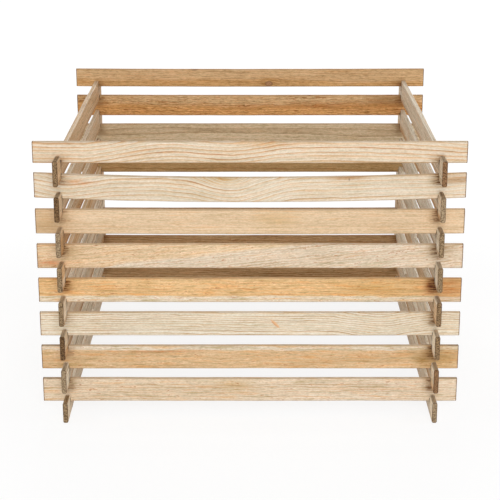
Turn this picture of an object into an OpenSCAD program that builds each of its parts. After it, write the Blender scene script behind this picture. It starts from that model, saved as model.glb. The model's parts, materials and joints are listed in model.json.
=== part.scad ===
// Slatted composter: four walls of notched boards, stacked crosswise like a log cabin.
// The side boards start on the ground, the front and back boards finish at the top.
// Origin: centre of the footprint at ground level. +X right, +Y to the back, +Z up. Millimetres.

/* [Walls] */
// Boards in each of the four walls
courses = 8; // [2:1:12]
// Length of the front and back boards
front_board_l = 1000; // [600:10:1400]
// Length of the left and right boards
side_board_l = 1000; // [600:10:1400]

/* [Board] */
// Height of a board standing on edge
board_h = 60; // [45:1:90]
// Thickness of a board
board_t = 12; // [10:1:24]
// Radius of the four long edges
edge_r = 4; // [1:0.5:4.5]

/* [Notch] */
// From a board's end to the middle of its notch
notch_inset = 58; // [40:1:120]
// Depth of a notch, cut into the edge of the board
notch_depth = 8.75; // [5:0.25:14]
// Free space on each side of the board that sits in a notch
notch_play = 1; // [0.5:0.25:2]

/* [Hidden] */
$fn = 48;
cut_margin = 1;
notch_w = board_t + 2 * notch_play;
// Each layer rests on the notch floors of the one below, so it adds the wood left between two notches.
layer_rise = board_h - 2 * notch_depth;
// The lowest and the topmost boards are ripped along the notch floor, so they have notches on one edge only.
ripped_h = board_h - notch_depth;
// Where the walls cross, measured from the middle of the bin.
cross_x = front_board_l / 2 - notch_inset;
cross_y = side_board_l / 2 - notch_inset;

FRONT_TONES = [
    [0.82, 0.71, 0.57], // lowest board
    [0.80, 0.66, 0.47],
    [0.85, 0.77, 0.64],
    [0.84, 0.68, 0.46],
    [0.82, 0.70, 0.56],
    [0.86, 0.74, 0.57],
    [0.86, 0.78, 0.64],
    [0.88, 0.78, 0.62],
];
BACK_TONE = [0.70, 0.57, 0.41];
SIDE_TONE = [0.66, 0.58, 0.48];

function board_name(wall, course) = str(wall, "_board_", course);

// Height of a board's lower edge above the ground, had it not been ripped. Layers count from 0.
function layer_z(layer) = layer * layer_rise - notch_depth;

// Cross-section of a board standing on edge, with its four edges rounded.
module board_section(height) {
    flat_t = board_t - 2 * edge_r;
    flat_h = height - 2 * edge_r;
    square([board_t, flat_h], center = true);
    square([flat_t, height], center = true);
    for (side = [-1, 1], end = [-1, 1])
        translate([side * flat_t / 2, end * flat_h / 2])
            circle(r = edge_r);
}

// Slot across a board, reaching from its floor past the board's edge.
module notch(length, floor_z, upward) {
    reach = notch_depth + cut_margin;
    for (end = [-1, 1])
        translate([
            end * (length / 2 - notch_inset) - notch_w / 2,
            -board_t / 2 - cut_margin,
            upward ? floor_z : floor_z - reach
        ])
            cube([notch_w, board_t + 2 * cut_margin, reach]);
}

// A board along X, centred, with z = 0 where its lower edge is, or would be before ripping.
module board(length, has_lower_notches, has_upper_notches) {
    bottom = has_lower_notches ? 0 : notch_depth;
    top = has_upper_notches ? board_h : ripped_h;
    difference() {
        translate([0, 0, (bottom + top) / 2])
            rotate([90, 0, 90])
                linear_extrude(length, center = true)
                    board_section(top - bottom);
        if (has_lower_notches)
            notch(length, notch_depth, false);
        if (has_upper_notches)
            notch(length, board_h - notch_depth, true);
    }
}

// A left (side = -1) or right (side = 1) board. Course 1 lies on the ground.
module side_board(side, course) {
    color(SIDE_TONE)
        translate([side * cross_x, 0, layer_z(2 * course - 2)])
            rotate([0, 0, 90])
                board(side_board_l, course > 1, true);
}

// A front (side = -1) or back (side = 1) board. The last course closes the top.
module end_board(side, course, tone) {
    color(tone)
        translate([0, side * cross_y, layer_z(2 * course - 1)])
            board(front_board_l, true, course < courses);
}

for (course = [1:courses]) {
    side_board(-1, course);
    side_board(1, course);
    end_board(-1, course, FRONT_TONES[(course - 1) % len(FRONT_TONES)]);
    end_board(1, course, BACK_TONE);
}
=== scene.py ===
"""Looks of a slatted wooden composter: notched pine boards stacked crosswise, on a pale floor."""
import json
import math
from dataclasses import dataclass

import bpy
import numpy as np
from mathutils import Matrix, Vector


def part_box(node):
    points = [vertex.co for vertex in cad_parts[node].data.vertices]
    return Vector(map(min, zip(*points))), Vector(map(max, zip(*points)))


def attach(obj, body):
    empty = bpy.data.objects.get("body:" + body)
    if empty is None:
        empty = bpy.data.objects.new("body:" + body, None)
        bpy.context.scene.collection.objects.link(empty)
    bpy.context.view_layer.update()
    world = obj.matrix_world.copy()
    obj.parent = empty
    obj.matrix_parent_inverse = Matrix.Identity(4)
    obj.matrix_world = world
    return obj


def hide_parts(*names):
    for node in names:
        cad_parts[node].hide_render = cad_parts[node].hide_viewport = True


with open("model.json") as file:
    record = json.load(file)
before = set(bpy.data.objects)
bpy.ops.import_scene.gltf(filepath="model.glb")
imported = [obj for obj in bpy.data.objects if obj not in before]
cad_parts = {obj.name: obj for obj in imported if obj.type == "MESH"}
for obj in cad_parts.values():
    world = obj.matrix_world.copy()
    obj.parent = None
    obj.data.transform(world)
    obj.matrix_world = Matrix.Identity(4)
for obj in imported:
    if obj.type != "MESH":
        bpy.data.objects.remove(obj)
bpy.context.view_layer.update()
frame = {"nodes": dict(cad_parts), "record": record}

MM = 0.001
EDGE_RADIUS = 4.0  # mm, the four long edges
NOTCH_PLAY = 1.0  # mm, free on each side of the board that sits in a notch
ARRIS = 0.5  # mm, wear round a sawn end
SAW_MARKS = 0.12  # mm, depth of the saw marks on a sawn end
SAW_SWELL = 0.1  # mm, depth of the broader unevenness of a sawn end
SWAY = 0.5  # mm, sideways wander of a board away from its crossings
HOLLOWS = 0.2  # mm, depth of the hollows along the long edges
SEATED = 60.0  # mm, reach round a crossing within which a board keeps its place
DAMP_REACH = 34.0  # mm, length of a damp mark from the crossing board inwards
RELIEF = 0.4  # mm, height that the bumps of the grain stand for
ROW_STEP = 8.0  # mm, longest step between two cross-sections of a board's mesh
SHARP_ANGLE = math.radians(40)  # edges sharper than this are shaded as edges
COURSES = max(int(node.rsplit("_", 1)[1]) for node in frame["nodes"])

AMBIENT = 0.33  # light from all around, as a share of white
FLOOR_REACH = 40.0  # m, half the width of the floor
FLOOR_GLOW = 0.8  # how far the camera sees the floor near the bin lifted to white
GLOW_FROM = 0.8  # m from the bin's middle, where that starts to grow
GLOW_TO = 2.4  # m from the bin's middle, where it is complete
FLOOR_WHITE = 1.05  # strength of the lifted floor, where 1 is white

# Camera fitted to the photograph, in metres and radians.
CAMERA_BEFORE_FRONT = 3.2007
CAMERA_HEIGHT = 1.4553
CAMERA_PITCH = 0.313
CAMERA_FOCUS = 1435.6 / 500  # focal length as a share of the picture's width

# The walls cross at these distances from the middle, and a notch is half of their overlap deep.
cross_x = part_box("right_board_1")[0].x / 2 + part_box("right_board_1")[1].x / 2
cross_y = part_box("back_board_1")[0].y / 2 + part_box("back_board_1")[1].y / 2
notch_depth = (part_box("left_board_1")[1].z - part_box("front_board_1")[0].z) / 2 / MM


def tone(red, green, blue):
    """A display colour, from 0 to 255 a channel, as the linear colour that shaders take."""
    shares = np.array([red, green, blue]) / 255
    linear = np.where(shares <= 0.04045, shares / 12.92, ((shares + 0.055) / 1.055) ** 2.4)
    return (*linear, 1.0)


WHITE = (1, 1, 1, 1)

# Tones that the wood under them is multiplied with.
FALSE_RING = tone(216, 206, 176)
OLIVE_PATCH = tone(196, 190, 158)
OLIVE_STRAND = tone(212, 202, 166)
AMBER_STRAND = tone(255, 226, 188)
KNOT_HALO = tone(222, 208, 168)
DAMP_CLOUD = tone(186, 166, 132)
DAMP_STREAK = tone(150, 118, 82)
# The two tones below darken the outline of a sawn end: weathering and painted shade together.
BOARD_TIP = tone(134, 92, 56)
SAWN_RIM = tone(120, 90, 60)

# Tones that cover the wood.
RESIN_DASH = tone(184, 128, 82)
KNOT_DARK = tone(142, 100, 66)
KNOT_PALE = tone(176, 134, 94)
KNOT_RIM = tone(110, 76, 48)
SPIKE_DARK = tone(214, 146, 92)
SPIKE_PALE = tone(232, 184, 136)
# Painted shade inside the joints, where one board crosses another.
JOINT_SHADE = tone(66, 46, 28)
AGED_DARK = tone(92, 68, 42)
AGED_PALE = tone(150, 122, 86)


def shaded(colour, share):
    """A linear colour made darker or lighter by a share."""
    return (*(channel * share for channel in colour[:3]), 1.0)


def between(first, last, share):
    """The linear colour at a share of the way from the first one to the last."""
    return tuple(np.array(first) * (1 - share) + np.array(last) * share)


@dataclass(frozen=True)
class Timber:
    """How one board was cut from its log, how it has aged, and the light and shade painted on it.

    Lengths are in millimetres. A place on a board is (along, up) from its middle. Along runs to
    the right on a front or back board, seen from the front, and to the back on a side board.
    """
    early: tuple = tone(236, 219, 193)  # pale spring wood
    flush: tuple = tone(232, 198, 156)  # the wood between spring and summer
    late: tuple = tone(205, 166, 122)  # darker summer wood
    heart: tuple = tone(232, 188, 132)  # spring wood of the heartwood
    heart_from: float = 0.0  # ring radius under which the wood is heartwood
    heart_soft: float = 3.0  # half the width over which heartwood and sapwood mingle
    rings: float = 0.9  # how strongly the rings show
    spacing: float = 5.0  # ring width
    pith: tuple = (60.0, -150.0)  # the log's centre: (through, up)
    grain: tuple = ((-500, 0), (500, 0))  # places that one grain line passes
    wave: float = 3.0  # slow sideways wander of the grain
    wobble: float = 1.0  # quick sideways wander of the grain
    bends: tuple = ()  # (along, up, reach along, reach up, rise) of each local bend of the grain
    knots: tuple = ()  # (along, up, radius) of each knot
    spikes: tuple = ()  # (along, up, half length, half width, tilt in degrees) of each cut branch
    blots: tuple = ()  # (along, up, reach along, reach up, tone) of each soft stain, and on the side boards a band of painted shade
    streaks: float = 0.35  # strength of the fibre streaks
    strands: float = 0.3  # strength of the olive and amber strands
    dashes: float = 0.35  # strength of the short dark resin lines
    cloud: float = 0.1  # strength of the broad changes of tone
    tinted: float = 0.15  # strength of the olive preservative in patches
    damp: tuple = (0.6, 0.6)  # strength of the damp marks beside the left and right crossing
    damp_up: float = 14.0  # height of the damp marks
    arris: tuple = tone(168, 136, 98)  # tone of the four long arrises: on front and back boards darker, wear and painted shade of their rounding together; on side boards a pale painted highlight
    crest: float = 0.5  # how far the narrow edges between them have taken that tone too
    weathered: float = 0.0  # how dark the narrow edges have gone beyond the crossings
    rubbed: float = 0.0  # strength of the painted shade on the faces where the joints cover them
    slack: float = 0.0  # extra width of the notches, on their inner side
    end_tones: tuple = (tone(120, 92, 60), tone(196, 168, 128))  # dark and pale end grain
    bow: float = 0.0  # rise of the middle of the board
    seed: int = 0


@dataclass(frozen=True)
class Shape:
    """Sizes of a board in millimetres, in its own directions: along, through and up."""
    centre: np.ndarray  # its middle in the bin
    turned: bool  # whether it runs from front to back
    length: float
    thick: float
    height: float
    crossing: float  # from its middle to the middle of each notch
    floors: tuple  # heights of the lower and upper notch floors above its middle


def board_shape(node):
    """Shape of a board, from its box in the frame.

    The lowest side boards and the topmost front and back boards are ripped along a notch floor.
    They have no notch on that edge, so its floor is put out of reach beyond the board.
    """
    low, high = (np.array(corner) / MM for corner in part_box(node))
    extent = high - low
    turned = bool(extent[1] > extent[0])
    length, thick = (extent[1], extent[0]) if turned else (extent[0], extent[1])
    half = extent[2] / 2
    course = int(node.rsplit("_", 1)[1])
    ripped_below = turned and course == 1
    ripped_above = not turned and course == COURSES
    floors = (-extent[2] if ripped_below else notch_depth - half,
              extent[2] if ripped_above else half - notch_depth)
    crossing = (cross_y if turned else cross_x) / MM
    return Shape((low + high) / 2, turned, length, thick, extent[2], crossing, floors)


class Socket:
    """An output in a material. Operators on it add Math nodes, and node() adds any other node."""

    def __init__(self, tree, link=None):
        self.tree = tree
        self.link = link

    def node(self, kind, settings=None, inputs=None, output=0):
        """Adds a node: its settings first, with a ramp's stops among them, then its inputs."""
        made = self.tree.nodes.new("ShaderNode" + kind)
        for key, value in (settings or {}).items():
            if key == "stops":
                ramp = made.color_ramp
                while len(ramp.elements) < len(value):
                    ramp.elements.new(0.5)
                for element, (position, colour) in zip(ramp.elements, value):
                    element.position = position
                    element.color = colour
            else:
                setattr(made, key, value)
        for key, value in (inputs or {}).items():
            if isinstance(value, Socket):
                self.tree.links.new(value.link, made.inputs[key])
            else:
                made.inputs[key].default_value = value
        return Socket(self.tree, made.outputs[output]) if made.outputs else None

    def other(self, output):
        """Another output of the same node."""
        return Socket(self.tree, self.link.node.outputs[output])

    def math(self, operation, *values):
        """Adds a Math node on values, each a socket or a number."""
        return self.node("Math", {"operation": operation}, dict(enumerate(values)))

    def __add__(self, other):
        return self.math("ADD", self, other)

    __radd__ = __add__

    def __mul__(self, other):
        return self.math("MULTIPLY", self, other)

    __rmul__ = __mul__

    def __sub__(self, other):
        return self.math("SUBTRACT", self, other)

    def __rsub__(self, other):
        return self.math("SUBTRACT", other, self)

    def __truediv__(self, other):
        return self.math("DIVIDE", self, other)

    def __neg__(self):
        return self.math("MULTIPLY", self, -1.0)

    def __abs__(self):
        return self.math("ABSOLUTE", self)

    def __pow__(self, power):
        return self.math("POWER", self, power)


def smooth(value, low, high):
    """0 where value is under low, 1 over high, and an even S between them. low may be above high."""
    return value.node("MapRange", {"interpolation_type": "SMOOTHSTEP"},
                      {"Value": value, "From Min": low, "From Max": high})


def mix(share, under, over, blend="MIX"):
    """Colour over laid on colour under, by share."""
    anchor = next(item for item in (share, under, over) if isinstance(item, Socket))
    return anchor.node("Mix", {"data_type": "RGBA", "blend_type": blend},
                       {0: share, 6: under, 7: over}, output=2)


def noise(point, lengths, shift, detail=2.0, rough=0.5):
    """Cloudy values round 0.5, as long, deep and high as lengths says, in millimetres."""
    scaled = point.node("VectorMath", {"operation": "MULTIPLY_ADD"},
                        {0: point, 1: [1 / size for size in lengths], 2: shift})
    return point.node("TexNoise", {"noise_dimensions": "3D"},
                      {"Vector": scaled, "Scale": 1.0, "Detail": detail, "Roughness": rough})


def bell(place, along, up, reach_along, reach_up):
    """A smooth hill, 1 at (along, up) and falling to a third at each reach."""
    x, _, z = place
    far = ((x - along) / reach_along) ** 2.0 + ((z - up) / reach_up) ** 2.0
    return far.math("EXPONENT", -far)


def board_place(start, timber, shape):
    """Position on the board in millimetres (along, through, up), as a vector and one by one.

    Up is measured from the bowed middle line, so the grain follows the bow.
    """
    position = start.node("TexCoord", output="Object")
    point = start.node("Mapping", {"vector_type": "TEXTURE"},
                       {"Vector": position, "Location": shape.centre * MM,
                        "Rotation": (0, 0, math.pi / 2 if shape.turned else 0),
                        "Scale": (MM, MM, MM)})
    x = point.node("SeparateXYZ", inputs={0: point})
    z = x.other(2) - (1.0 - (x / shape.crossing) ** 2.0) * timber.bow
    return point, (x, x.other(1), z)


def grain_rise(x, grain):
    """Height of a grain line at x, a smooth curve through the places in grain."""
    reach = 500.0  # mm on either side of the middle
    span = 100.0  # mm, over which heights fill the ramp's range
    stops = [(0.5 + along / (2 * reach), (0.5 + up / span,) * 3 + (1,)) for along, up in grain]
    curve = x.node("ValToRGB", {"stops": stops}, {"Fac": x / (2 * reach) + 0.5})
    curve.link.node.color_ramp.interpolation = "CARDINAL"
    return (curve - 0.5) * span


def bent_height(point, place, timber, shifts):
    """Height of the grain at a place: its own height less all that bends the grain there."""
    x, _, z = place
    up = z - grain_rise(x, timber.grain)
    up = up + (noise(point, (260, 60, 70), shifts[0], detail=3.0) - 0.5) * (timber.wave * 4.0)
    up = up + (noise(point, (48, 12, 11), shifts[6]) - 0.5) * (timber.wobble * 4.0)
    for *hill, rise in timber.bends:
        up = up - bell(place, *hill) * rise
    for along, knot_up, radius in timber.knots:
        squeeze = bell(place, along, knot_up, radius * 3.2, radius * 2.0)
        up = up - (z - knot_up) * squeeze * 0.85
    return up


def growth_rings(y, up, timber, shifts):
    """Growth rings: cylinders round the log's pith.

    Returns the distance from the pith, the darkness of the ring, which rises slowly through the
    spring wood and ends sharply at the next ring, and a faint false ring amid the spring wood.
    No two rings are equally wide or dark.
    """
    distance = ((y - timber.pith[0]) ** 2.0 + (up - timber.pith[1]) ** 2.0) ** 0.5
    uneven = noise(distance.node("CombineXYZ", inputs={0: distance}), (14, 1, 1), shifts[1])
    count = (distance + uneven * 9.0) / timber.spacing
    phase = count.math("FRACT", count)
    own = count.node("TexWhiteNoise", {"noise_dimensions": "1D"},
                     {"W": count.math("FLOOR", count) + float(timber.seed)})
    stops = ((0.0, 0.0), (0.3, 0.08), (0.58, 0.4), (0.76, 0.9), (0.92, 1.0), (1.0, 0.0))
    ring = phase.node("ValToRGB", {"stops": [(at, (dark,) * 3 + (1,)) for at, dark in stops]},
                      {"Fac": phase})
    false_ring = smooth(abs(phase - 0.36), 0.13, 0.0) * smooth(own, 0.7, 0.3)
    return distance, ring * (own * 0.55 + 0.45), false_ring


def knot_colour(point, place, timber, shifts, colour):
    """Colour with the knots laid on: fine rings of their own, a dark rim and a tan halo."""
    x, _, z = place
    for along, up, radius in timber.knots:
        halo = bell(place, along, up, radius * 2.6, radius * 1.8)
        colour = mix(halo * 0.6, colour, KNOT_HALO, "MULTIPLY")
        drawn_out = 1.05 - 0.05 * radius
        distance = (((x - along) * drawn_out) ** 2.0 + (z - up) ** 2.0) ** 0.5
        distance = distance + (noise(point, (9, 9, 9), shifts[6]) - 0.5) * (radius * 0.6)
        years = distance.math("SINE", distance * 2.2) * 0.5 + 0.5
        wood = mix(years, KNOT_DARK, KNOT_PALE)
        colour = mix(smooth(distance, radius + 0.8, radius - 0.8), colour, wood)
        rim = smooth(abs(distance - radius), 1.8, 0.0)
        colour = mix(rim * 0.6, colour, KNOT_RIM)
    for along, up, half_length, half_width, tilt in timber.spikes:
        turn = math.radians(tilt)
        lengthwise = (x - along) * math.cos(turn) + (z - up) * math.sin(turn)
        rise = ((z - up) * math.cos(turn) - (x - along) * math.sin(turn)) / half_width
        inside = smooth((lengthwise / half_length) ** 2.0 + rise ** 2.0, 1.3, 0.5)
        wood = mix(smooth(rise, -1.0, 0.6), SPIKE_DARK, SPIKE_PALE)
        colour = mix(inside * 0.85, colour, wood)
    return colour


def damp_and_joint_shade(place, timber, shape, streaky, colour):
    """Colour with damp marks beside the joints and painted shade where the joints cover the faces.

    A damp mark is a cloud that thins out towards the middle of the board, with dark streaks in
    it that get fewer on the way.
    """
    x, _, z = place
    inward = shape.crossing - shape.thick / 2 - abs(x)
    near = smooth(inward, DAMP_REACH, 0.0) * smooth(inward, -18.0, -4.0)
    high = smooth(abs(z - timber.damp_up), 26.0, 8.0)
    left, right = timber.damp
    strength = smooth(x, -100.0, 100.0) * (right - left) + left
    colour = mix(near * high * strength * 0.7, colour, DAMP_CLOUD, "MULTIPLY")
    streak = smooth(streaky + near * 0.16, 0.6, 0.7) * near
    colour = mix(streak * high * strength, colour, DAMP_STREAK, "MULTIPLY")
    # Painted shade on the faces inside each joint, strongest at the laps.
    joint = smooth(abs(abs(x) - shape.crossing), shape.thick / 2 + 1.0, shape.thick / 2 - 1.0)
    lower, upper = shape.floors
    lap = (smooth(z, upper - notch_depth - 1.0, upper - notch_depth + 2.0)
           + smooth(z, lower + notch_depth + 1.0, lower + notch_depth - 2.0))
    return mix(joint * (lap * 0.8 + 0.2) * timber.rubbed, colour, JOINT_SHADE)


def wear_and_painted_light(place, timber, shape, fibres, streaky, colour):
    """Colour with stains, bands of painted shade, weathered overhangs, and long edges and tips that
    carry painted light and shade as well as wear.
    """
    x, y, z = place
    half_length, half_thick, half_height = shape.length / 2, shape.thick / 2, shape.height / 2
    for *hill, blot_tone in timber.blots:
        blot = bell(place, *hill) * smooth(streaky, 0.3, 0.6)
        colour = mix(blot, colour, blot_tone, "MULTIPLY")
    # The long arrises take the arris tone: a pale painted highlight on the side boards, and on the
    # others wear and painted shade of the rounding together.
    on_edge = smooth(abs(z) + (fibres - 0.5) * 3.0, half_height - 3.2, half_height - 0.4)
    on_arris = smooth(abs(y), half_thick - EDGE_RADIUS, half_thick - 1.0) * (1.0 - timber.crest)
    colour = mix(on_edge * (on_arris + timber.crest) * 0.6, colour, timber.arris)
    outer = smooth(abs(x) - shape.crossing, 5.0, 13.0) * timber.weathered
    aged = mix(smooth(streaky, 0.42, 0.56), AGED_DARK, AGED_PALE)
    colour = mix(outer * on_edge, colour, aged)
    # The darker tip of the board: weathering and painted shade of the end's outline together.
    tip = smooth(abs(x) + (fibres - 0.5) * 2.0, half_length - 2.8, half_length - 1.2)
    return mix(tip * 0.9, colour, BOARD_TIP, "MULTIPLY")


def sawn_colour(point, place, timber, shape, shifts, ring, fibres, colour):
    """Colour with the rough end grain laid on both ends and on the walls of the notches.

    It is darkest round the rim of an end. Returns also how far a place lies on a sawn end, and
    the height of the saw marks there.
    """
    x, y, z = place
    half_length, half_thick, half_height = shape.length / 2, shape.thick / 2, shape.height / 2
    ends = smooth(abs(x) + (fibres - 0.5) * 1.4, half_length - 1.3, half_length - 0.3)
    reach = half_thick + NOTCH_PLAY
    across = abs(x) - shape.crossing
    inner = smooth(abs(across + (reach + timber.slack)), 0.6, 0.2)
    outer = smooth(abs(across - reach), 0.6, 0.2)
    lower, upper = shape.floors
    notched = smooth(z, upper - 0.3, upper) + smooth(z, lower + 0.3, lower)
    grit = noise(point, (3.6, 3.0, 3.0), shifts[7], detail=3.0, rough=0.7)
    speckled = mix(smooth(grit, 0.41, 0.57), *timber.end_tones)
    speckled = mix(ring * 0.45, speckled, timber.end_tones[0])
    colour = mix((inner + outer) * notched, colour, speckled)
    # The darker rim of a sawn end: weathering and painted shade together.
    rim = y.math("MAXIMUM", smooth(abs(y), half_thick - 2.4, half_thick - 0.6),
                 smooth(abs(z), half_height - 2.4, half_height - 0.6))
    speckled = mix(rim * 0.4, speckled, SAWN_RIM, "MULTIPLY")
    return mix(ends, colour, speckled), ends, grit


def timber_material(name, timber, shape):
    """Solid wood of one board, from its growth rings and fibres to its worn and sawn surfaces."""
    shifts = np.random.default_rng(timber.seed).uniform(-50, 50, (9, 3))
    material = bpy.data.materials.new(name)
    material.use_nodes = True
    tree = material.node_tree
    tree.nodes.clear()
    start = Socket(tree)
    point, place = board_place(start, timber, shape)
    x, y, _ = place
    up = bent_height(point, place, timber, shifts)
    distance, ring, false_ring = growth_rings(y, up, timber, shifts)
    along_grain = start.node("CombineXYZ", inputs={0: x, 1: y, 2: up})
    fibres = noise(along_grain, (90, 3.2, 3.2), shifts[2], detail=3.0, rough=0.6)
    flecks = noise(along_grain, (14, 2.6, 2.6), shifts[3], detail=3.0, rough=0.65)
    strands = noise(along_grain, (90, 8, 5.5), shifts[7], detail=4.0, rough=0.6)
    pores = noise(along_grain, (5.0, 2.2, 2.2), shifts[8], detail=1.0)
    broad = noise(point, (240, 30, 18), shifts[4], detail=3.0)
    patches = noise(point, (150, 25, 26), shifts[5])
    streaky = fibres * 0.5 + flecks * 0.5

    heart = smooth(distance + (broad - 0.5) * 10.0 + (fibres - 0.5) * timber.heart_soft * 2.0,
                   timber.heart_from + timber.heart_soft, timber.heart_from - timber.heart_soft)
    warmer = tuple(np.array(timber.heart) / timber.early)
    shown = ring * (patches * 1.2 + 0.4) * (fibres * 1.4 + 0.3) * timber.rings
    colour = mix(false_ring * 0.5 * timber.rings, timber.early, FALSE_RING, "MULTIPLY")
    colour = mix(smooth(shown, 0.0, 0.6), colour, timber.flush)
    colour = mix(smooth(shown, 0.35, 1.1), colour, timber.late)
    colour = mix(heart, colour, warmer, "MULTIPLY")
    olive_patch = smooth(patches, 0.5, 0.75) * timber.tinted
    colour = mix(olive_patch, colour, OLIVE_PATCH, "MULTIPLY")
    olive_strand = smooth(strands, 0.5, 0.68) * timber.strands
    colour = mix(olive_strand, colour, OLIVE_STRAND, "MULTIPLY")
    amber_strand = smooth(strands, 0.5, 0.32) * timber.strands
    colour = mix(amber_strand, colour, AMBER_STRAND, "MULTIPLY")
    level = ((broad - 0.5) * (timber.cloud * 4.0) + (fibres - 0.5) * timber.streaks
             + (flecks - 0.5) * (timber.streaks * 1.8) + (pores - 0.5) * 0.3 + 1.0)
    shade = level.node("CombineColor", inputs={0: level, 1: level ** 1.2, 2: level ** 1.6})
    colour = mix(1.0, colour, shade, "MULTIPLY")
    dash = smooth(flecks, 0.53, 0.64) * smooth(fibres, 0.46, 0.58) * timber.dashes
    colour = mix(dash, colour, RESIN_DASH)
    colour = knot_colour(point, place, timber, shifts, colour)
    colour = damp_and_joint_shade(place, timber, shape, streaky, colour)
    colour = wear_and_painted_light(place, timber, shape, fibres, streaky, colour)
    colour, sawn, grit = sawn_colour(point, place, timber, shape, shifts, ring, fibres, colour)

    relief = (ring * -0.35 + fibres * 0.9 + flecks * 0.5) * (1.0 - sawn) + grit * sawn * 5.0
    normal = relief.node("Bump", inputs={"Strength": 0.55, "Distance": RELIEF * MM,
                                        "Height": relief})
    dull = sawn * 0.15 - ring * 0.12 + (fibres - 0.5) * 0.15 + 0.78
    shader = start.node("BsdfPrincipled", inputs={
        "Base Color": colour, "Roughness": dull, "Normal": normal, "Specular IOR Level": 0.3})
    start.node("OutputMaterial", inputs={"Surface": shader})
    return material


def board_outline(thick, height):
    """Cross-section of a board: a rectangle whose corners are quarter circles.

    Returns its points (through, up) in turn, and for each the nearest point of the middle line
    that the end caps close on.
    """
    flat = np.array([thick, height]) / 2 - EDGE_RADIUS
    side_steps, edge_steps, arc_steps = 14, 3, 5  # up a face, across an edge, round a corner
    corners = []
    for quarter, sign in enumerate([(1, -1), (1, 1), (-1, 1), (-1, -1)]):
        angle = np.linspace(quarter - 1, quarter, arc_steps + 1) * math.pi / 2
        arc = flat * sign + EDGE_RADIUS * np.stack([np.cos(angle), np.sin(angle)], axis=1)
        corners.append(arc)
    points = []
    for quarter, arc in enumerate(corners):
        steps = side_steps if quarter % 2 == 0 else edge_steps
        share = np.linspace(0, 1, steps + 1)[1:-1, None]
        following = corners[(quarter + 1) % 4][0]
        points += [arc, arc[-1] * (1 - share) + following * share]
    outline = np.concatenate(points)
    reach = height / 2 - thick / 2
    middle = np.stack([np.zeros(len(outline)), np.clip(outline[:, 1], -reach, reach)], axis=1)
    return outline, middle


def board_rows(shape, slack):
    """Where the cross-section stands along a board: (along, share of its size, in a notch).

    A row stands twice at each notch wall, whole and cut. At each end the section shrinks to its
    middle line, first round a small arris and then across the flat cap.
    """
    half = shape.length / 2
    reach = shape.thick / 2 + NOTCH_PLAY
    stops = [-half + 2 * ARRIS]
    stops += [-shape.crossing - reach, -shape.crossing + reach + slack]
    stops += [shape.crossing - reach - slack, shape.crossing + reach]
    stops.append(half - 2 * ARRIS)
    along, cut = [], []
    for part, (first, last) in enumerate(zip(stops, stops[1:])):
        places = np.linspace(first, last, 2 + int((last - first) / ROW_STEP))
        along.append(places)
        cut.append(np.full(len(places), part % 2 == 1))
    along, cut = np.concatenate(along), np.concatenate(cut)
    chamfer = ARRIS / (shape.thick / 2)
    cap_share = np.array([0.0, 0.25, 0.5, 0.75, 1 - chamfer, 1 - chamfer / 5])
    cap_along = np.array([0, 0, 0, 0, 0, ARRIS * 0.7]) - half
    along = np.concatenate([cap_along, along, -cap_along[::-1]])
    share = np.concatenate([cap_share, np.ones(len(cut)), cap_share[::-1]])
    cut = np.concatenate([np.zeros(len(cap_share), bool), cut, np.zeros(len(cap_share), bool)])
    return along, share, cut


def waves(place, rng, amount, longest):
    """Sum of three sine waves of random phase, each shorter and lower than the one before."""
    total = np.zeros_like(place)
    for shorter in (1.0, 2.3, 5.1):
        total += np.sin(place * 2 * math.pi * shorter / longest + rng.uniform(0, 6.3)) / shorter
    return amount * total


def merged_grid(points):
    """Vertices and quads of a grid of points (rows, ring, 3), closed round each row.

    Points that fall together become one vertex, and quads without area are left out.
    """
    rows, ring = points.shape[:2]
    vertices, index = np.unique(np.round(points.reshape(-1, 3), 4), axis=0, return_inverse=True)
    index = index.reshape(rows, ring)
    after = np.roll(index, -1, axis=1)
    quads = np.stack([index[:-1], after[:-1], after[1:], index[1:]], axis=-1).reshape(-1, 4)
    repeats = (quads == np.roll(quads, 1, axis=1)).sum(axis=1)
    folded = (quads[:, 0] == quads[:, 2]) | (quads[:, 1] == quads[:, 3])
    return vertices, quads[(repeats < 2) & ~folded]


def mesh_of(name, vertices, quads):
    """A mesh from arrays. A quad with a repeated corner becomes a triangle."""
    kept = quads != np.roll(quads, 1, axis=1)
    corners = quads[kept]
    starts = np.concatenate([[0], np.cumsum(kept.sum(axis=1))[:-1]])
    mesh = bpy.data.meshes.new(name)
    mesh.vertices.add(len(vertices))
    mesh.vertices.foreach_set("co", vertices.ravel())
    mesh.loops.add(len(corners))
    mesh.loops.foreach_set("vertex_index", corners.astype(np.int32))
    mesh.polygons.add(len(starts))
    mesh.polygons.foreach_set("loop_start", starts.astype(np.int32))
    mesh.update(calc_edges=True)
    return mesh


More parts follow.
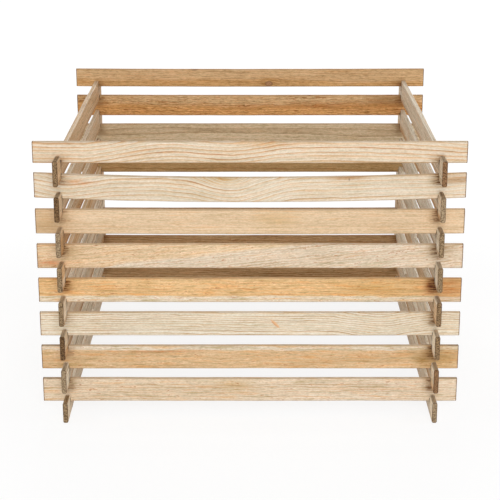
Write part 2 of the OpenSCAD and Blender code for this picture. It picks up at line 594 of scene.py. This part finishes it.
def board_piece(node, timber):
    """Builds a board: its cross-section carried along its length, cut flat in the notches.

    In a notch the section is clamped to the notch floor, and the twin rows at the notch walls
    close it. Between the crossings the board rises by a parabola. It wanders sideways, and its
    long edges are hollowed, by waves that fade out towards the crossings as a bell curve. The
    sawn ends are worn back by waves across them.
    """
    shape = board_shape(node)
    outline, middle = board_outline(shape.thick, shape.height)
    along, share, cut = board_rows(shape, timber.slack)
    section = middle + (outline - middle) * share[:, None, None]
    through, up = section[..., 0], section[..., 1]
    up = np.where(cut[:, None], np.clip(up, *shape.floors), up)
    along = np.broadcast_to(along[:, None], up.shape)

    rng = np.random.default_rng(timber.seed)
    capped = np.abs(along) > shape.length / 2 - 0.01
    rough = waves(through + 0.37 * up, rng, SAW_MARKS, 7.0)
    rough = rough + waves(up - 0.6 * through, rng, SAW_SWELL, 11.0)
    bow = timber.bow * (1 - (along / shape.crossing) ** 2)
    settled = 1 - np.exp(-((np.abs(along) - shape.crossing) / SEATED) ** 2)
    sway = waves(along, rng, SWAY, 700.0) * settled
    on_edge = np.abs(up) > shape.height / 2 - EDGE_RADIUS
    hollow = -np.sign(up) * np.abs(waves(along, rng, HOLLOWS, 330.0)) * on_edge
    points = np.stack([
        along - np.sign(along) * capped * np.abs(rough),
        through + sway,
        up + bow + hollow * settled,
    ], axis=-1)

    points, quads = merged_grid(points)
    if shape.turned:
        points = points[:, [1, 0, 2]] * [-1, 1, 1]
    mesh = mesh_of(node + "_timber", (points + shape.centre) * MM, quads)
    mesh.shade_smooth()
    mesh.set_sharp_from_angle(angle=SHARP_ANGLE)
    mesh.materials.append(timber_material(node, timber, shape))
    piece = bpy.data.objects.new(node + "_timber", mesh)
    bpy.context.scene.collection.objects.link(piece)
    body = next(body for body, members in frame["record"]["behaviour"]["bodies"].items()
                if node in members)
    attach(piece, body)
    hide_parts(node)


# Stains on several front boards.
OLIVE = tone(226, 214, 178)
BROWN = tone(196, 160, 118)

# The front boards follow the photograph one by one, counted from the lowest.
FRONT = {
    8: Timber(early=tone(229, 214, 192), flush=tone(224, 191, 153), late=tone(186, 136, 93),
              rings=1.0, spacing=8.6, pith=(60, -150), wave=2.5, seed=8, cloud=0.05, slack=3.5,
              grain=((-500, -6), (-420, -8), (-354, -6), (-270, 8), (-184, 18), (-100, 12),
                     (-30, 10), (50, 20), (110, 26), (250, 26), (400, 24), (500, 18)),
              blots=((30, 22, 50, 8, tone(250, 226, 196)),), damp=(0.3, 0.7), damp_up=-24),
    7: Timber(early=tone(229, 216, 196), flush=tone(225, 198, 163), late=tone(188, 142, 100),
              rings=0.9, spacing=8.8, pith=(50, -140), wave=2.0, seed=7, cloud=0.05, bow=-8.5,
              grain=((-500, 4), (-450, -4), (-404, -4), (-337, 8), (-235, 14), (-180, 13),
                     (-120, 6), (-56, -8), (0, -2), (84, 22), (200, 27), (500, 28)),
              bends=((-56, 30, 45, 26, -16),), damp=(0.6, 1.0), damp_up=20,
              blots=((-66, 28, 44, 14, tone(226, 206, 164)), (226, 26, 42, 5, BROWN),
                     (229, 22, 1.6, 3.5, tone(110, 70, 40)), (480, 14, 40, 9, BROWN),
                     (-400, 12, 30, 6, tone(240, 196, 156)))),
    6: Timber(early=tone(226, 200, 166), flush=tone(222, 188, 150), late=tone(204, 168, 128),
              rings=0.7, spacing=5.6, pith=(20, -220), wave=2.5, seed=6, cloud=0.07, bow=-1.5,
              streaks=0.4, strands=0.35, damp=(0.6, 0.9),
              blots=((-470, 0, 36, 30, tone(230, 218, 196)),
                     (60, 10, 50, 20, tone(244, 236, 216)))),
    5: Timber(early=tone(228, 212, 190), flush=tone(220, 195, 166), late=tone(188, 154, 120),
              heart=tone(233, 207, 172), heart_from=113.6, heart_soft=3, rings=0.8, spacing=6.0,
              pith=(20, 125), wave=2.5, wobble=1.8, grain=((-500, -50), (500, 50)), seed=5,
              streaks=0.6, strands=0.45, dashes=1.0, damp=(0.9, 0.8),
              blots=((-470, -16, 30, 6, tone(230, 170, 126)),
                     (450, 16, 34, 14, tone(206, 196, 176)))),
    4: Timber(early=tone(232, 218, 196), flush=tone(228, 203, 169), late=tone(190, 148, 104),
              heart=tone(234, 197, 147), heart_from=90.3, heart_soft=1.5, rings=0.65, spacing=6.6,
              pith=(10, 75), wave=2.5, wobble=2.2, seed=4, streaks=0.55, strands=0.8,
              dashes=0.9, damp=(1.0, 1.3), cloud=0.08,
              blots=((470, 10, 50, 34, tone(206, 174, 140)), (300, 6, 90, 20, OLIVE),
                     (424, 10, 12, 16, tone(190, 150, 110)))),
    3: Timber(early=tone(235, 226, 208), flush=tone(228, 205, 172), late=tone(178, 141, 101),
              spacing=5.4, pith=(40, -130), wave=2.5, wobble=1.6, seed=3, cloud=0.05,
              tinted=0.06, damp=(0.4, 0.9), rings=1.1,
              grain=((-500, 0), (-200, 2), (0, 0), (200, 0), (310, -12), (420, 2), (500, 4)),
              spikes=((60, 1, 15, 3.5, -45),)),
    2: Timber(early=tone(231, 217, 196), flush=tone(226, 201, 168), late=tone(188, 148, 104),
              heart=tone(225, 194, 154), heart_from=148, heart_soft=1.5, rings=0.7, spacing=6.4,
              pith=(10, -130), wave=2.5, wobble=2.2, seed=2, streaks=0.55, strands=0.8,
              dashes=0.9, cloud=0.1, damp=(0.5, 1.2), weathered=0.55,
              blots=((416, -4, 22, 18, tone(196, 180, 134)), (470, 0, 34, 26, OLIVE),
                     (-220, 15, 90, 2.5, tone(226, 172, 124)))),
    1: Timber(early=tone(235, 219, 197), flush=tone(227, 199, 166), late=tone(186, 144, 104),
              rings=0.8, spacing=6.0, pith=(30, -200), wave=3.0, wobble=2.2, seed=1,
              streaks=0.55, strands=0.6, cloud=0.06, tinted=0.12, dashes=0.8,
              damp=(0.8, 0.9), weathered=0.5,
              blots=((-40, 14, 50, 16, tone(238, 228, 204)),
                     (-230, 0, 260, 60, tone(250, 246, 238)))),
}

# What differs on the back boards that the photograph shows. A shade multiplies the wood's tones.
BACK = {
    8: {"knots": ((54, -16, 7),), "blots": ((-160, 26, 8, 4, tone(120, 84, 54)),),
        "bends": ((-160, 26, 20, 12, -5),), "rings": 0.8, "tinted": 0.1, "shade": 1.02,
        "damp_up": -24, "streaks": 0.8},
    7: {"heart": tone(208, 160, 102), "pith": (20, -90), "heart_from": 93.0, "heart_soft": 9,
        "early": tone(204, 172, 130), "dashes": 1.0, "streaks": 1.0, "wobble": 4.0, "knots": (),
        "rings": 1.1, "shade": 1.08, "blots": ((170, -2, 230, 7, tone(216, 190, 162)),
                                               (390, 14, 60, 16, tone(206, 186, 160)))},
    6: {"early": tone(213, 193, 161), "flush": tone(201, 177, 143), "late": tone(174, 148, 112),
        "heart_from": 0.0, "knots": (), "streaks": 0.7},
    # Course 5's shade of 0.77 is painted shade, deeper than on the other lower back boards.
    5: {"early": tone(206, 170, 118), "flush": tone(192, 152, 96), "knots": (), "shade": 0.77},
}

# Dark and pale tone of sawn ends, and which of them each side board has, from the lowest up.
BROWN_END = (tone(70, 49, 29), tone(136, 104, 69))
RUST_END = (tone(93, 63, 39), tone(162, 124, 87))
UMBER_END = (tone(90, 67, 44), tone(166, 136, 99))
OLIVE_END = (tone(102, 80, 55), tone(173, 147, 112))
GREY_END = (tone(115, 93, 68), tone(184, 161, 129))
SIDE_ENDS = {
    "left": (OLIVE_END, GREY_END, BROWN_END, OLIVE_END, OLIVE_END, GREY_END, BROWN_END, UMBER_END),
    "right": (GREY_END, RUST_END, UMBER_END, UMBER_END, OLIVE_END, OLIVE_END, GREY_END, RUST_END),
}

# Wood of the back boards, and the brown and the pale wood that the side boards lie between.
BACK_WOOD = {"early": tone(206, 172, 130), "flush": tone(196, 156, 108),
             "late": tone(160, 116, 72), "heart": tone(202, 160, 108)}
BROWN_WOOD = {"early": tone(216, 191, 159), "flush": tone(202, 172, 137),
              "late": tone(158, 124, 90), "heart": tone(208, 171, 126)}
PALE_WOOD = {"early": tone(228, 215, 194), "flush": tone(214, 197, 173),
             "late": tone(174, 150, 121), "heart": tone(221, 194, 158)}

# Share of the way from the brown to the pale wood, or past either, at the top of a side wall,
# and what each course down adds to it: painted light, the lower boards lit brighter.
PALENESS = {"left": (-0.35, 0.27), "right": (0.9, 0.19)}
MOST_PALENESS = 1.3

FIRST_SEED = {"back": 100, "left": 280, "right": 320}
HEARTWOOD_SHARE = 0.45  # of the boards of the back and sides
KNOTTY_SHARE = 0.3  # of the same boards


def random_cut(rng):
    """How a board of the back or sides was cut from its log, now and then with a knot."""
    up = rng.choice([-1, 1]) * rng.uniform(5, 150)
    through = rng.uniform(15, 70)
    heartwood = rng.random() < HEARTWOOD_SHARE
    knots = ()
    if rng.random() < KNOTTY_SHARE:
        knots = ((rng.uniform(-360, 360), rng.uniform(-20, 20), rng.uniform(3, 8)),)
    return {
        "heart_from": math.hypot(up, through) + rng.uniform(-15, 10) if heartwood else 0.0,
        "rings": rng.uniform(0.7, 1.1), "spacing": rng.uniform(4.0, 6.6), "pith": (through, up),
        "grain": ((-500, rng.uniform(-12, 12)), (rng.uniform(-200, 200), 0),
                  (500, rng.uniform(-12, 12))),
        "wave": rng.uniform(1.5, 4.0), "wobble": rng.uniform(1.0, 3.0), "knots": knots,
        "streaks": rng.uniform(0.5, 0.75), "dashes": rng.uniform(0.3, 0.9),
        "cloud": rng.uniform(0.05, 0.1), "tinted": rng.uniform(0.1, 0.3),
        "seed": int(rng.integers(10, 9999)),
        "bow": rng.uniform(-1.2, 1.2),
        "shade": rng.uniform(0.92, 1.06),
    }


def side_look(wall, course, rng):
    """Tones and wear of a side board, browner on the left wall, paler downwards as painted light,
    with a painted highlight on its arrises and painted shade along its lower edge.
    """
    at_top, per_course = PALENESS[wall]
    # Paler downwards is painted light.
    paleness = at_top + per_course * (COURSES - course)
    paleness = min(paleness, MOST_PALENESS) + rng.uniform(-0.4, 0.3)
    look = {layer: between(BROWN_WOOD[layer], PALE_WOOD[layer], paleness) for layer in BROWN_WOOD}
    look.update(weathered=rng.uniform(0.7, 1.0), rings=rng.uniform(0.9, 1.3),
                # Painted shade inside the joints, at 0.9 strength.
                streaks=rng.uniform(0.4, 0.6), strands=0.6, rubbed=0.9,
                # A pale painted highlight on the rounded long arrises.
                arris=tone(236, 225, 206), crest=0.1,
                # A darker brown band along the lower edge: painted shade under the board.
                blots=((0, -27, 4000, 8, tone(206, 170, 132)),),
                end_tones=SIDE_ENDS[wall][course - 1])
    return look


def other_timber(wall, course):
    """A board of the back or sides, with its own cut and tone."""
    rng = np.random.default_rng(FIRST_SEED[wall] + course)
    timber = random_cut(rng)
    if wall == "back":
        # Painted shade: the back boards below the top three are darker.
        timber["shade"] *= 0.9 if course < COURSES - 2 else 1.0
        # Darker long arrises: wear and painted shade of their rounding together.
        timber["arris"] = tone(150, 106, 62)
        timber.update(BACK_WOOD | BACK.get(course, {}))
    else:
        # Painted light: each course down is lighter still.
        timber["shade"] *= 1.0 + 0.02 * (COURSES - course)
        timber.update(side_look(wall, course, rng))
        if course == 1:
            timber["bow"] = 0.0  # it lies flat on the ground
    shade = timber.pop("shade")
    timber.update({layer: shaded(timber[layer], shade) for layer in BACK_WOOD})
    return Timber(**timber)


def build_boards():
    """Every board of the four walls, course by course."""
    for course in range(1, COURSES + 1):
        board_piece(f"front_board_{course}", FRONT[course])
        for wall in ("back", "left", "right"):
            board_piece(f"{wall}_board_{course}", other_timber(wall, course))


def floor_material():
    """Matt white floor. The camera sees it lifted to pure white, least of all near the bin, so
    that the bin's soft shadow stays.
    """
    material = bpy.data.materials.new("floor")
    material.use_nodes = True
    tree = material.node_tree
    tree.nodes.clear()
    start = Socket(tree)
    place = start.node("TexCoord", output="Object")
    away = place.node("VectorMath", {"operation": "LENGTH"}, {0: place}, output="Value")
    lifted = smooth(away, GLOW_FROM, GLOW_TO) * (1.0 - FLOOR_GLOW) + FLOOR_GLOW
    ray = start.node("LightPath", output="Is Camera Ray")
    seen = ray.math("MAXIMUM", ray, ray.other("Is Glossy Ray"))
    matt = start.node("BsdfDiffuse", inputs={"Color": tone(238, 238, 238)})
    white = start.node("Emission", inputs={"Color": WHITE, "Strength": FLOOR_WHITE})
    shader = start.node("MixShader", inputs={0: seen * lifted, 1: matt, 2: white})
    start.node("OutputMaterial", inputs={"Surface": shader})
    return material


def build_stage():
    """The pale floor under the bin."""
    mesh = bpy.data.meshes.new("floor")
    signs = ((-1, -1), (1, -1), (1, 1), (-1, 1))
    corners = [(x * FLOOR_REACH, y * FLOOR_REACH, 0) for x, y in signs]
    mesh.from_pydata(corners, [], [(0, 1, 2, 3)])
    mesh.materials.append(floor_material())
    floor = bpy.data.objects.new("floor", mesh)
    bpy.context.scene.collection.objects.link(floor)


def area_lamp(name, place, target, size, power):
    """A square soft lamp at place that faces target."""
    lamp = bpy.data.lights.new(name, "AREA")
    lamp.shape = "SQUARE"
    lamp.size = size
    lamp.energy = power
    holder = bpy.data.objects.new(name, lamp)
    bpy.context.scene.collection.objects.link(holder)
    holder.location = place
    aim = np.array(target) - np.array(place)
    holder.rotation_euler = (math.atan2(math.hypot(aim[0], aim[1]), -aim[2]), 0,
                             math.atan2(-aim[0], aim[1]))


def build_light():
    """An even white surround, a large soft key from the front and above, and weak side fills."""
    world = bpy.data.worlds.new("surround")
    world.use_nodes = True
    tree = world.node_tree
    tree.nodes.clear()
    start = Socket(tree)
    ray = start.node("LightPath", output="Is Camera Ray")
    seen = ray.math("MAXIMUM", ray, ray.other("Is Glossy Ray"))
    strength = seen * (1.0 - AMBIENT) + AMBIENT
    shine = start.node("Background", inputs={"Color": WHITE, "Strength": strength})
    start.node("OutputWorld", inputs={"Surface": shine})
    bpy.context.scene.world = world
    area_lamp("key", (0.4, -5.2, 2.6), (0, 0, 0.35), 3.0, 150)
    area_lamp("fill_left", (-4.0, -0.8, 1.6), (0, 0, 0.3), 2.5, 52)
    area_lamp("fill_right", (4.0, -0.8, 1.6), (0, 0, 0.3), 2.5, 52)
    area_lamp("fill_back", (0, 4.2, 2.6), (0, 0, 0.3), 2.5, 105)


def build_camera():
    """The camera of the photograph: above the rim, looking down at the front wall."""
    lens = bpy.data.cameras.new("camera")
    lens.sensor_width = 36
    lens.lens = lens.sensor_width * CAMERA_FOCUS
    camera = bpy.data.objects.new("camera", lens)
    bpy.context.scene.collection.objects.link(camera)
    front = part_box("front_board_1")[0].y
    camera.location = (0, front - CAMERA_BEFORE_FRONT, CAMERA_HEIGHT)
    camera.rotation_euler = (math.pi / 2 - CAMERA_PITCH, 0, 0)
    bpy.context.scene.camera = camera


build_boards()
build_stage()
build_light()
build_camera()
bpy.context.scene.view_settings.view_transform = "Standard"
